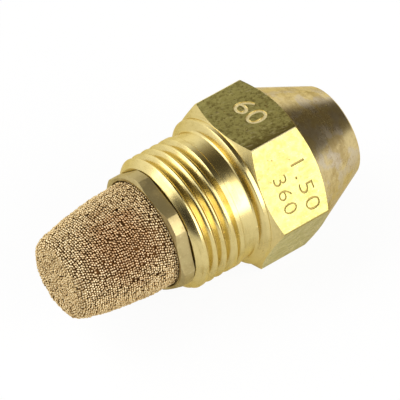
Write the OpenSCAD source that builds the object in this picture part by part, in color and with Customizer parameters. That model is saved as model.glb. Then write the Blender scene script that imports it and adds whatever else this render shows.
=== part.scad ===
// Oil burner nozzle with a sintered filter. All sizes are in millimetres.
// The spray axis is the X axis and the spray leaves towards +X. The origin is on that axis, at the
// middle of the mounting thread. The nozzle lies on one flat of its hexagon, which faces -Z.

/* [Mounting thread] */
// Crest diameter of the mounting thread, 9/16 inch
thread_d = 14.288; // [13.8:0.004:14.6]
// Pitch of the mounting thread, 24 to the inch
thread_pitch = 1.058; // [0.9:0.001:1.2]
// Length of the mounting thread
thread_l = 4.75; // [4:0.05:5.5]
// Plain neck between the thread and the seat
neck_l = 1.78; // [1.4:0.02:2.6]
// Diameter of the plain neck
neck_d = 13.8; // [13.4:0.1:14]

/* [Hexagon] */
// Width across the flats of the body, 5/8 inch
hex_af = 15.875; // [15.5:0.125:17]
// Length of the hexagon with both of its chamfers
hex_l = 6.78; // [6:0.02:8]
// Angle of the hexagon's chamfers from square
hex_chamfer = 30; // [20:1:35]

/* [Nose] */
// Length of the cone in front of the hexagon
nose_l = 6.6; // [6:0.1:7.4]
// Diameter of the nose at its end, before the edge is rounded
nose_end_d = 9.8; // [9.4:0.1:11]
// Radius on the end edge of the nose
nose_edge_r = 0.4; // [0.1:0.05:0.7]
// Diameter of the hole through the tip
tip_hole_d = 5; // [4:0.1:5.4]

/* [Swirl parts] */
// Diameter of the spray orifice
orifice_d = 0.25; // [0.15:0.01:0.6]
// Thickness of the orifice disc's flange
disc_t = 2; // [1.8:0.1:2.4]
// Diameter of the distributor's cone where it meets its stem
cone_d = 5.2; // [4.4:0.1:5.6]
// Number of tangential slots in the distributor's cone
swirl_slots = 4; // [2:1:6]
// Width of one tangential slot
swirl_slot_w = 0.35; // [0.2:0.05:0.5]
// Length of the lock screw's thread
lock_l = 5.2; // [4.4:0.1:5.6]

/* [Filter holder] */
// Width across the flats of the filter holder
holder_af = 12.1; // [11.6:0.1:13]
// Turned diameter over the filter holder's corners
holder_d = 13; // [12.8:0.1:14]
// Length of the filter holder's head
holder_l = 1.56; // [1.4:0.02:2.4]
// Length of the filter holder's threaded shank
shank_l = 5.4; // [4.4:0.1:5.8]
// Turn of the filter holder's hexagon from the body's hexagon, as it was tightened
holder_turn = 19; // [-30:1:30]

/* [Sintered filter] */
// Length of the filter that stands out of its holder
filter_l = 10.44; // [8:0.02:14]
// Diameter of the filter at its holder
filter_base_d = 11.48; // [10.8:0.02:11.6]
// Diameter of the filter at its free end
filter_end_d = 8.58; // [7.6:0.02:9.6]
// Wall of the filter as if its metal had no pores
filter_wall = 0.75; // [0.65:0.05:1.5]

/* [Fits] */
// Radial clearance of the screwed pieces in the body
running_gap = 0.05; // [0.02:0.01:0.1]
// Diameter of the bore that both screwed pieces share
bore_d = 9; // [8.8:0.1:9.2]

/* [Hidden] */
$fn = 128;
// How far pieces that are joined run into each other, and how far a cut runs past the surface it opens
eps = 0.01;
over = 1;

// Mounting thread: a 60 degree thread whose ridges stand as separate rings
thread_depth = 0.6134 * thread_pitch;
thread_crest_w = thread_pitch / 8;
thread_flank_w = thread_depth * tan(30);
thread_root_w = thread_pitch - thread_crest_w - 2 * thread_flank_w;
thread_rings = floor(thread_l / thread_pitch);
rear_chamfer_l = 0.67;
rear_face_d = 12.9;
mouth_edge = 0.4;

// Seat and collar
neck_fillet = 0.3;
seat_rise = 0.41;
collar_d = hex_af - 0.035;
collar_l = 0.45;

// Filter holder and filter
filter_recess = 0.6;
filter_gap = 0.03;
holder_face_d = 12.28;
washer_face_d = 11.2;
washer_face_l = 0.12;
shank_d = bore_d - 2 * running_gap;
relief_d = 8.1;
relief_l = 0.7;
relief_run = 0.4;
shank_edge = 0.5;
shank_hole_d = 5.4;
filter_end_edge = 0.3;
filter_end_wall = 1;
filter_steps = 10;

// Swirl parts
disc_d = 7.6;
disc_boss_l = 0.4;
tip_edge = 0.8;
tip_land_l = 0.54;
chamber_d = disc_d;
chamber_l = 7.2;
cone_gap = 0.03;
cone_tip_d = 1.3;
seat_tip_d = 1;
stem_l = 1.2;
head_l = 1.4;
swirl_slot_depth = 0.3;
swirl_offset = 0.42;
head_flat = 3.1;
lock_pilot_d = 4;
lock_hole_d = 2.2;
lock_cross_d = 1.1;
lock_front_gap = 0.3;
lock_slot_w = 1.2;
lock_slot_depth = 1.2;

// Places along the spray axis, from the rear to the nose
thread_rear = -thread_l / 2;
thread_front = thread_l / 2;
rear_x = thread_rear - rear_chamfer_l;
holder_rear = rear_x - holder_l;
filter_end = holder_rear - filter_l;
seat_x = thread_front + neck_l;
collar_x = seat_x + seat_rise;
hex_rear = collar_x + collar_l;
hex_front = hex_rear + hex_l;
nose_x = hex_front + nose_l;
ledge_x = nose_x - tip_edge - tip_land_l;
disc_rear = ledge_x - disc_t;
cone_base = disc_rear - cone_gap;
stem_rear = cone_base - stem_l;
head_rear = stem_rear - head_l;
chamber_rear = nose_x - chamber_l;
lock_front = chamber_rear - lock_front_gap;
lock_rear = lock_front - lock_l;

// Turns a shape that was drawn up the Z axis so that it points along the spray axis
module along_axis() {
    rotate([0, 90, 0]) children();
}

// Solid of revolution about the spray axis from points [place along the axis, radius]
module turned(points) {
    along_axis() rotate_extrude() polygon([for (p = points) [p[1], p[0]]]);
}

// Round hole or bar along the spray axis, from one place to another
module round_bar(d, from_x, to_x) {
    along_axis() translate([0, 0, from_x]) cylinder(d = d, h = to_x - from_x);
}

// Hexagonal bar along the spray axis with one flat facing -Z
module hex_bar(af, from_x, to_x) {
    along_axis() translate([0, 0, from_x])
        rotate([0, 0, 30]) cylinder(d = af / cos(30), h = to_x - from_x, $fn = 6);
}

// Points [place along the axis, radius] on an arc about a centre, from one angle to another
function arc(x, r, arc_r, from_a, to_a) =
    [for (i = [0 : 4]) let (a = from_a + (to_a - from_a) * i / 4) [x + arc_r * cos(a), r + arc_r * sin(a)]];

// One groove of the mounting thread, cut in from the crest
module thread_groove(x) {
    crest_r = thread_d / 2;
    root_r = crest_r - thread_depth;
    half_root = thread_root_w / 2;
    half_open = half_root + thread_flank_w * (thread_depth + over) / thread_depth;
    turned([[x - half_open, crest_r + over], [x - half_root, root_r],
            [x + half_root, root_r], [x + half_open, crest_r + over]]);
}

// Threaded rear end and plain neck, up to the seat
module rear_end() {
    crest_r = thread_d / 2;
    neck_r = neck_d / 2;
    difference() {
        turned(concat([[rear_x, 0], [rear_x, rear_face_d / 2], [thread_rear, crest_r], [thread_front, crest_r],
                       [thread_front + crest_r - neck_r, neck_r]],
                      arc(seat_x - neck_fillet, neck_r + neck_fillet, neck_fillet, -90, 0),
                      [[seat_x + eps, neck_r + neck_fillet], [seat_x + eps, 0]]));
        for (i = [0 : thread_rings - 1])
            thread_groove(thread_rear + (i + 0.5) * thread_pitch + thread_crest_w);
    }
}

// Seat, collar, hexagon and nose cone, without the bores
module hex_and_nose() {
    collar_r = collar_d / 2;
    corner_r = hex_af / 2 / cos(30);
    chamfer_l = (corner_r - collar_r) * tan(hex_chamfer);
    nose_angle = atan((collar_d - nose_end_d) / 2 / nose_l);
    edge_x = nose_x - nose_edge_r;
    edge_r = nose_end_d / 2 + nose_edge_r * (tan(nose_angle) - 1 / cos(nose_angle));
    turned([[seat_x, 0], [seat_x, neck_d / 2 + neck_fillet], [collar_x, collar_r],
            [hex_rear + eps, collar_r], [hex_rear + eps, 0]]);
    intersection() {
        hex_bar(hex_af, hex_rear, hex_front);
        turned([[hex_rear, 0], [hex_rear, collar_r], [hex_rear + chamfer_l, corner_r],
                [hex_front - chamfer_l, corner_r], [hex_front, collar_r], [hex_front, 0]]);
    }
    turned(concat([[hex_front - eps, 0], [hex_front - eps, collar_r], [hex_front, collar_r]],
                  arc(edge_x, edge_r, nose_edge_r, 90 - nose_angle, 0), [[nose_x, 0]]));
}

// Brass body: thread, neck, seat, hexagon and nose in one piece, with the stepped bore
module nozzle_body() {
    color("#c9a94f") difference() {
        union() {
            rear_end();
            hex_and_nose();
        }
        round_bar(bore_d, rear_x - over, chamber_rear);
        turned([[rear_x - over, 0], [rear_x - over, bore_d / 2 + mouth_edge + over],
                [rear_x + mouth_edge, bore_d / 2], [rear_x + mouth_edge, 0]]);
        round_bar(chamber_d, chamber_rear - eps, ledge_x);
        round_bar(tip_hole_d, ledge_x - eps, nose_x + over);
        turned([[nose_x - tip_edge, 0], [nose_x - tip_edge, tip_hole_d / 2],
                [nose_x + over, tip_hole_d / 2 + tip_edge + over], [nose_x + over, 0]]);
    }
}

// Stainless disc in the nose, with the cone's seat behind it and the spray orifice in its middle
module orifice_disc() {
    boss_x = ledge_x + disc_boss_l;
    seat_depth = (cone_d - seat_tip_d) / 2;
    color("#b9bcc0") difference() {
        union() {
            round_bar(disc_d, disc_rear, ledge_x);
            round_bar(tip_hole_d, ledge_x - eps, boss_x);
        }
        turned([[disc_rear - over, 0], [disc_rear - over, cone_d / 2 + over],
                [disc_rear + seat_depth, seat_tip_d / 2], [disc_rear + seat_depth, 0]]);
        round_bar(orifice_d, disc_rear, boss_x + over);
    }
}

// Stainless cone whose tangential slots spin the oil before it leaves the orifice
module swirl_distributor() {
    cone_l = (cone_d - cone_tip_d) / 2;
    head_r = chamber_d / 2;
    color("#a9adb2") difference() {
        union() {
            turned([[stem_rear - eps, 0], [stem_rear - eps, cone_d / 2], [cone_base, cone_d / 2],
                    [cone_base + cone_l, cone_tip_d / 2], [cone_base + cone_l, 0]]);
            round_bar(chamber_d - 2 * running_gap, head_rear, stem_rear);
        }
        for (i = [0 : swirl_slots - 1])
            along_axis() rotate([0, 0, i * 360 / swirl_slots])
                translate([cone_d / 2, swirl_offset, cone_base]) rotate([0, -45, 0])
                    translate([-swirl_slot_depth, -swirl_slot_w / 2, -over])
                        cube([swirl_slot_depth + over, swirl_slot_w, cone_d + over]);
        for (i = [0 : 3])
            along_axis() rotate([0, 0, i * 90])
                translate([head_flat, -head_r, head_rear - over]) cube([head_r, 2 * head_r, head_l + over]);
    }
}

// Brass screw that holds the distributor against the disc and lets the oil through
module lock_screw() {
    cross_x = (lock_front + head_rear) / 2;
    color("#b8963f") difference() {
        union() {
            round_bar(bore_d - 2 * running_gap, lock_rear, lock_front);
            round_bar(lock_pilot_d, lock_front - eps, head_rear);
        }
        round_bar(lock_hole_d, lock_rear - over, cross_x + lock_cross_d / 2);
        for (turn = [0, 90])
            rotate([turn, 0, 0]) translate([cross_x, 0, 0])
                cylinder(d = lock_cross_d, h = lock_pilot_d + 2 * over, center = true);
        translate([lock_rear - over, -bore_d / 2, -lock_slot_w / 2])
            cube([lock_slot_depth + over, bore_d, lock_slot_w]);
    }
}

// Brass plug that carries the filter: a low hexagon, a recess for the filter and a hollow threaded shank
module filter_holder() {
    holder_r = holder_d / 2;
    washer_r = washer_face_d / 2;
    rim_r = holder_face_d / 2;
    chamfer_l = (holder_r - rim_r) * tan(hex_chamfer);
    washer_x = rear_x - washer_face_l;
    shank_x = rear_x + shank_l;
    thread_x = rear_x + relief_l;
    color("#b09a50") difference() {
        union() {
            intersection() {
                rotate([holder_turn, 0, 0]) hex_bar(holder_af, holder_rear, washer_x);
                turned([[holder_rear, 0], [holder_rear, rim_r], [holder_rear + chamfer_l, holder_r],
                        [washer_x, holder_r], [washer_x, 0]]);
            }
            turned([[washer_x - eps, 0], [washer_x - eps, washer_r], [rear_x, washer_r],
                    [rear_x, relief_d / 2], [thread_x - relief_run, relief_d / 2], [thread_x, shank_d / 2],
                    [shank_x - shank_edge, shank_d / 2], [shank_x, shank_d / 2 - shank_edge], [shank_x, 0]]);
        }
        round_bar(filter_base_d + 2 * filter_gap, holder_rear - over, holder_rear + filter_recess);
        round_bar(shank_hole_d, holder_rear, shank_x + over);
    }
}

// Radius of the filter at a fraction of its length from the holder, bellied like a thimble
function filter_r(t) = filter_base_d / 2 - (filter_base_d - filter_end_d) / 2 * pow(t, 2);

// Points along the filter's side from its holder to a length, set in from its surface, without the last one
function filter_side(length, inset) =
    [for (i = [0 : filter_steps - 1]) let (x = length * i / filter_steps)
        [holder_rear - x, filter_r(x / filter_l) - inset]];

// Closed thimble of sintered bronze beads
module sintered_filter() {
    floor_x = holder_rear + filter_recess;
    hollow_l = filter_l - filter_end_wall;
    edge_r = filter_end_d / 2 - filter_end_edge;
    color("#a68a5e") difference() {
        turned(concat([[floor_x, 0], [floor_x, filter_base_d / 2]], filter_side(filter_l, 0),
                      arc(filter_end + filter_end_edge, edge_r, filter_end_edge, 90, 180), [[filter_end, 0]]));
        turned(concat([[floor_x + over, 0], [floor_x + over, filter_base_d / 2 - filter_wall]],
                      filter_side(hollow_l, filter_wall),
                      [[holder_rear - hollow_l, filter_r(hollow_l / filter_l) - filter_wall],
                       [holder_rear - hollow_l, 0]]));
    }
}

nozzle_body();
orifice_disc();
swirl_distributor();
lock_screw();
filter_holder();
sintered_filter();
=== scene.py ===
"""Looks of an oil burner nozzle: its pieces, their finishes, the studio and the camera.

The spray axis is the X axis and the nozzle lies on one flat of its hexagon, which faces -Z. Pieces are
drawn in millimetres about the middle of the mounting thread, and each is brought to metres when it is done.
"""

import logging
import math
from collections.abc import Callable, Iterable, Sequence
from dataclasses import dataclass
from enum import Enum
from typing import ClassVar, TypeAlias

import bpy
from bpy.types import Material, MeshEdge, MeshPolygon, Node, NodeSocket, NodeTree, Object
from mathutils import Matrix, Vector


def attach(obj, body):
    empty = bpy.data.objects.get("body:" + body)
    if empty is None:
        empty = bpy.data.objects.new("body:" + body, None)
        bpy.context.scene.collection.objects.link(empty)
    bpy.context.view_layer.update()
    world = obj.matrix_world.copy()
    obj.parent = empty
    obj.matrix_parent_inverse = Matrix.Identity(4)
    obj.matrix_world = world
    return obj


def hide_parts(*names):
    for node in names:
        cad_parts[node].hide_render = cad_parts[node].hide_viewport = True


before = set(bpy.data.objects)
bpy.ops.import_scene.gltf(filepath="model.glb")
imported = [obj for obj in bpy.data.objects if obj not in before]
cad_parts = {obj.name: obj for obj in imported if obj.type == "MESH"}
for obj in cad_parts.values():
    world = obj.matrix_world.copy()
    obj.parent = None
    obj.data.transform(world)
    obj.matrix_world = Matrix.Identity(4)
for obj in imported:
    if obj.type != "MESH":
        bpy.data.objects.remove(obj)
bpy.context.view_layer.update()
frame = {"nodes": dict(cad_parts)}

LOG = logging.getLogger("oil_burner_nozzle")
MM = 0.001
# Points closer than this, in millimetres, are one point
WELD = 1e-4
# Height of a figure where the typeface's size is 1
FIGURE_HEIGHT = 0.73

Point: TypeAlias = tuple[float, float]
Place: TypeAlias = tuple[float, float, float]
Colour: TypeAlias = tuple[float, float, float, float]
Level: TypeAlias = "Signal | float"
Paint: TypeAlias = "NodeSocket | Colour"
Surface: TypeAlias = "tuple[Paint, Signal, NodeSocket | None]"
Settings: TypeAlias = dict[str, object]
Inputs: TypeAlias = dict[int | str, object]

WHITE: Colour = (1.0, 1.0, 1.0, 1.0)


class Operation(Enum):
    """What a Boolean modifier does with its tool."""

    CUT = "DIFFERENCE"
    KEEP_INSIDE = "INTERSECT"


class Select(Enum):
    """What is selected in edit mode."""

    POINTS = ("VERT", "vertices")
    EDGES = ("EDGE", "edges")
    FACES = ("FACE", "polygons")


class ThreadSide(Enum):
    """Whether a thread is cut into a bar or into a bore."""

    OUTSIDE = 1.0
    INSIDE = -1.0


class Body(Enum):
    """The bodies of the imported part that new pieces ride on."""

    NOZZLE = "nozzle"
    FILTER = "filter"
    HOLDER = "holder"


# Working on meshes


def pick_only(piece: Object) -> None:
    """Makes one object the only selected one, and active.

    Args:
        piece: The object to work on next.
    """
    bpy.ops.object.select_all(action="DESELECT")
    piece.select_set(True)
    bpy.context.view_layer.objects.active = piece


def start_clean() -> None:
    """Leaves edit mode and deselects everything, before a new primitive is added."""
    if bpy.context.mode != "OBJECT":
        bpy.ops.object.mode_set(mode="OBJECT")
    bpy.ops.object.select_all(action="DESELECT")


def select_where(piece: Object, kind: Select, wanted: Callable[..., bool]) -> None:
    """Selects the points, edges or faces that a test picks, and leaves the piece in edit mode.

    Args:
        piece: The mesh object, in object mode.
        kind: Which of the three are selected.
        wanted: Says of one of them whether it is picked.
    """
    mode, parts = kind.value
    pick_only(piece)
    bpy.ops.object.mode_set(mode="EDIT")
    bpy.ops.mesh.select_mode(type=mode)
    bpy.ops.mesh.select_all(action="DESELECT")
    bpy.ops.object.mode_set(mode="OBJECT")
    for part in getattr(piece.data, parts):
        part.select = wanted(part)
    bpy.ops.object.mode_set(mode="EDIT")


def weld_and_close() -> None:
    """Welds the doubles of the piece in edit mode, turns its faces outwards and leaves edit mode."""
    bpy.ops.mesh.select_all(action="SELECT")
    bpy.ops.mesh.remove_doubles(threshold=WELD)
    bpy.ops.mesh.normals_make_consistent(inside=False)
    bpy.ops.object.mode_set(mode="OBJECT")


def apply_modifier(piece: Object, kind: str, **settings: object) -> None:
    """Adds one modifier to a piece and applies it.

    Args:
        piece: The object that changes, in object mode.
        kind: The modifier's type.
        settings: Its properties.
    """
    pick_only(piece)
    bpy.ops.object.modifier_add(type=kind)
    step = piece.modifiers[-1]
    for key, value in settings.items():
        setattr(step, key, value)
    bpy.ops.object.modifier_apply(modifier=step.name)


def combine(piece: Object, tool: Object, operation: Operation) -> None:
    """Cuts a piece with a tool, or keeps what is inside the tool, and removes the tool.

    Args:
        piece: The object that changes.
        tool: The object that it is combined with.
        operation: What is done.
    """
    apply_modifier(piece, "BOOLEAN", operation=operation.value, solver="EXACT", object=tool)
    bpy.data.objects.remove(tool)


def draw_loop(name: str, outline: Sequence[Point]) -> Object:
    """Draws a closed outline in the plane through the axis, from point to point.

    Args:
        name: The new object's name.
        outline: Points (place along the axis, radius) in order. The last joins the first.

    Returns:
        The outline, all selected, in edit mode.
    """
    start_clean()
    bpy.ops.mesh.primitive_plane_add(size=1, location=(0, 0, 0))
    piece = bpy.context.object
    piece.name = piece.data.name = name
    bpy.ops.object.mode_set(mode="EDIT")
    bpy.ops.mesh.select_mode(type="VERT")
    bpy.ops.mesh.select_all(action="SELECT")
    bpy.ops.mesh.merge(type="CENTER")
    here = outline[0]
    bpy.ops.transform.translate(value=(here[0], 0, here[1]))
    for there in [*outline[1:], outline[0]]:
        move = (there[0] - here[0], 0, there[1] - here[1])
        bpy.ops.mesh.extrude_vertices_move(TRANSFORM_OT_translate={"value": move})
        here = there
    bpy.ops.mesh.select_all(action="SELECT")
    bpy.ops.mesh.remove_doubles(threshold=WELD)
    return piece


def lathe(name: str, outline: Sequence[Point], steps: int = 192) -> Object:
    """Turns a closed outline about the spray axis.

    Args:
        name: The new object's name.
        outline: Points (place along the axis, radius) in order. The last joins the first.
        steps: The number of facets in a full turn.

    Returns:
        The turned object, closed and with its faces outwards.
    """
    piece = draw_loop(name, outline)
    bpy.ops.mesh.spin(steps=steps, angle=math.tau, center=(0, 0, 0), axis=(1, 0, 0))
    weld_and_close()
    return piece


def rounded(x: float, r: float, radius: float, start: float, end: float, parts: int) -> list[Point]:
    """Gives points on an arc in the plane of a turned outline.

    Args:
        x: Place of the arc's centre along the axis.
        r: The centre's distance from the axis.
        radius: Radius of the arc.
        start: First angle in degrees, from the spray's direction towards the outside.
        end: Last angle in degrees.
        parts: Number of straight parts.

    Returns:
        The points from the first angle to the last.
    """
    angles = [math.radians(start + (end - start) * i / parts) for i in range(parts + 1)]
    return [(x + radius * math.cos(a), r + radius * math.sin(a)) for a in angles]


def hexagonal_bar(across_flats: float, span: Point, edge: float, turn: float = 0.0) -> Object:
    """Makes a hexagonal bar along the axis with rounded long edges, one flat facing down when unturned.

    Args:
        across_flats: Width across the flats.
        span: The places along the axis where it starts and ends.
        edge: How far the rounding reaches from each long edge.
        turn: Turn about the axis in degrees.

    Returns:
        The bar.
    """
    start_clean()
    bpy.ops.mesh.primitive_cylinder_add(
        vertices=6,
        radius=across_flats / math.sqrt(3),
        depth=span[1] - span[0],
        location=((span[0] + span[1]) / 2, 0, 0),
        rotation=(0, math.radians(90), 0),
    )
    bar = bpy.context.object
    bpy.ops.object.transform_apply(location=True, rotation=True, scale=False)

    def is_long(side: MeshEdge) -> bool:
        """Says whether an edge runs along the axis."""
        first, second = (bar.data.vertices[i].co.x for i in side.vertices)
        return abs(first - second) > WELD

    select_where(bar, Select.EDGES, is_long)
    bpy.ops.mesh.bevel(offset=edge, segments=5, affect="EDGES")
    bpy.ops.object.mode_set(mode="OBJECT")
    bar.rotation_euler.x = math.radians(turn)
    bpy.ops.object.transform_apply(location=False, rotation=True, scale=False)
    return bar


def dress_in(piece: Object, material: Material) -> None:
    """Gives a whole piece one material."""
    piece.data.materials.clear()
    piece.data.materials.append(material)


def finish_mesh(piece: Object, smooth_under: float = 28.0) -> None:
    """Brings a piece from millimetres to metres at the origin and smooths its gentle edges.

    Args:
        piece: The object that was drawn in millimetres.
        smooth_under: Edges that turn less than this many degrees are shaded smooth.
    """
    pick_only(piece)
    piece.scale = (MM, MM, MM)
    bpy.ops.object.transform_apply(location=True, rotation=True, scale=True)
    bpy.ops.object.shade_smooth_by_angle(angle=math.radians(smooth_under))


# Threads and stamped figures


@dataclass(frozen=True)
class ScrewThread:
    """A right-handed 60 degree thread that is cut as one helical groove.

    Attributes:
        pitch: Advance a turn.
        crest_radius: Distance of the crest from the axis.
        depth: Depth of the groove.
        crest: Width of the flat left between grooves.
        start: Place of the groove's middle where it starts.
        end: Place of the groove's middle where it ends.
        run_out: Turns over which the groove leaves the metal at its end.
        run_in: Turns over which it enters the metal at its start.
        side: Whether the thread is on a bar or in a bore.
        edge: Size of the rounding on the crest's edges.
        steps: Facets in a turn.
        over: How far the cutter stands out of the metal.
    """

    pitch: float
    crest_radius: float
    depth: float
    crest: float
    start: float
    end: float
    run_out: float
    run_in: float = 0.0
    side: ThreadSide = ThreadSide.OUTSIDE
    edge: float = 0.03
    steps: int = 96
    over: float = 0.4

    def groove(self) -> list[Point]:
        """Works out the groove's section.

        Returns:
            Points (offset along the axis, height above the crest) from rear to front.
        """
        flank = self.depth * math.tan(math.radians(30))
        root = (self.pitch - self.crest - 2 * flank) / 2
        lip, edge = root + flank, self.edge
        half = [
            (root * 0.55, -self.depth),
            (root + 0.1 * flank, -0.9 * self.depth),
            (lip - 0.6 * edge, -edge),
            (lip + 0.25 * edge, -0.3 * edge),
            (lip + edge, 0.12 * edge),
            (lip + edge, self.over),
        ]
        return [(-x, h) for x, h in reversed(half)] + half

    def cutter(self) -> Object:
        """Makes the closed helical bar that cuts the groove.

        Returns:
            The tool for a cut.
        """
        section = [(self.start + x, self.crest_radius + self.side.value * h) for x, h in self.groove()]
        tool = draw_loop("thread_cutter", section)
        bpy.ops.object.mode_set(mode="OBJECT")
        turns = (self.end - self.start) / self.pitch
        steps = round(self.steps * turns)
        apply_modifier(
            tool,
            "SCREW",
            axis="X",
            angle=math.tau * turns,
            screw_offset=self.pitch * turns,
            steps=steps,
            render_steps=steps,
            use_smooth_shade=False,
        )
        self.lift(tool, len(section), range(steps + 1 - round(self.steps * self.run_out), steps + 1))
        self.lift(tool, len(section), range(round(self.steps * self.run_in) - 1, -1, -1))
        bpy.ops.object.mode_set(mode="EDIT")
        bpy.ops.mesh.select_all(action="SELECT")
        bpy.ops.mesh.fill_holes(sides=0)
        weld_and_close()
        return tool

    def lift(self, tool: Object, corners: int, slices: Sequence[int]) -> None:
        """Lifts slices of the cutter out of the metal, each more than the last, as the tool is drawn back.

        Args:
            tool: The cutter.
            corners: Points in one slice.
            slices: Numbers of the slices, the last one quite out of the metal.
        """
        for done, number in enumerate(slices, 1):
            rise = self.side.value * (self.depth + self.edge) * (done / len(slices)) ** 1.5
            grow = 1 + rise / (self.crest_radius - self.side.value * self.depth)
            chosen = range(number * corners, (number + 1) * corners)
            select_where(tool, Select.POINTS, lambda point: point.index in chosen)
            bpy.ops.transform.resize(value=(1, grow, grow), center_override=(0, 0, 0))
            bpy.ops.object.mode_set(mode="OBJECT")


@dataclass(frozen=True)
class Stamp:
    """Plain figures that are struck into a flat of the hexagon.

    Attributes:
        figures: The characters.
        flat: Angle of the flat's normal from straight up, towards -Y, in degrees.
        x: Place of the row's middle along the axis.
        across: How far the row's middle lies down the flat from the flat's middle line.
        height: Height of the characters.
        spacing: Spacing of the characters, where 1 is the typeface's own.
        wide: Width of the characters, where 1 is the typeface's own.
        heavy: How much each edge of a stroke is pushed out.
        depth: Depth of the strokes.
    """

    figures: str
    flat: float
    x: float
    across: float
    height: float
    spacing: float
    wide: float
    heavy: float
    depth: float = 0.09

    def cutter(self, flat_distance: float) -> Object:
        """Makes the tool that cuts the figures.

        Args:
            flat_distance: Distance of the flat from the axis.

        Returns:
            The tool, which stands out of the flat.
        """
        start_clean()
        bpy.ops.object.text_add(location=(0, 0, 0))
        tool = bpy.context.object
        words = tool.data
        words.body, words.align_x, words.align_y = self.figures, "CENTER", "CENTER"
        words.size, words.space_character = self.height / FIGURE_HEIGHT, self.spacing
        words.offset, words.extrude, words.resolution_u = self.heavy, self.depth, 6
        bpy.ops.object.convert(target="MESH")
        angle = math.radians(self.flat)
        out, up = Vector((0, -math.sin(angle), math.cos(angle))), Vector((1, 0, 0))
        along = up.cross(out)
        place = out * flat_distance + up * self.x + along * self.across
        axes = Matrix((along * self.wide, up, out)).transposed().to_4x4()
        tool.matrix_world = Matrix.Translation(place) @ axes
        bpy.ops.object.transform_apply(location=True, rotation=True, scale=True)
        bpy.ops.object.mode_set(mode="EDIT")
        weld_and_close()
        return tool


# Shader nodes


class Draw(Enum):
    """What is drawn at random for each bead: its kind of value and the output that gives it."""

    VECTOR = ("FLOAT_VECTOR", 0)
    NUMBER = ("FLOAT", 1)
    CHOICE = ("BOOLEAN", 3)


class Signal:
    """A number that runs through shader nodes, with Python's own arithmetic."""

    def __init__(self, bench: "NodeBench", socket: NodeSocket) -> None:
        """Wraps an output socket of a bench's node."""
        self.bench, self.socket = bench, socket

    def _with(self, operation: str, *values: Level) -> "Signal":
        """Adds one Math node for an operation on values."""
        return self.bench.number("ShaderNodeMath", {"operation": operation}, dict(enumerate(values)))

    def __add__(self, other: Level) -> "Signal":
        """Adds."""
        return self._with("ADD", self, other)

    __radd__ = __add__

    def __sub__(self, other: Level) -> "Signal":
        """Subtracts."""
        return self._with("SUBTRACT", self, other)

    def __rsub__(self, other: float) -> "Signal":
        """Subtracts from a plain number."""
        return self._with("SUBTRACT", other, self)

    def __mul__(self, other: Level) -> "Signal":
        """Multiplies."""
        return self._with("MULTIPLY", self, other)

    __rmul__ = __mul__

    def __truediv__(self, other: Level) -> "Signal":
        """Divides."""
        return self._with("DIVIDE", self, other)

    def __pow__(self, other: float) -> "Signal":
        """Raises to a power."""
        return self._with("POWER", self, other)

    def least(self, other: Level) -> "Signal":
        """Takes the smaller of two values."""
        return self._with("MINIMUM", self, other)

    def ramp(self, low: float, high: float) -> "Signal":
        """Maps a range smoothly onto 0 to 1.

        Args:
            low: The value that gives 0.
            high: The value that gives 1.

        Returns:
            The eased share.
        """
        settings = {"interpolation_type": "SMOOTHSTEP", "clamp": True}
        inputs = {"Value": self, "From Min": low, "From Max": high}
        return self.bench.number("ShaderNodeMapRange", settings, inputs, "Result")


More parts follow.
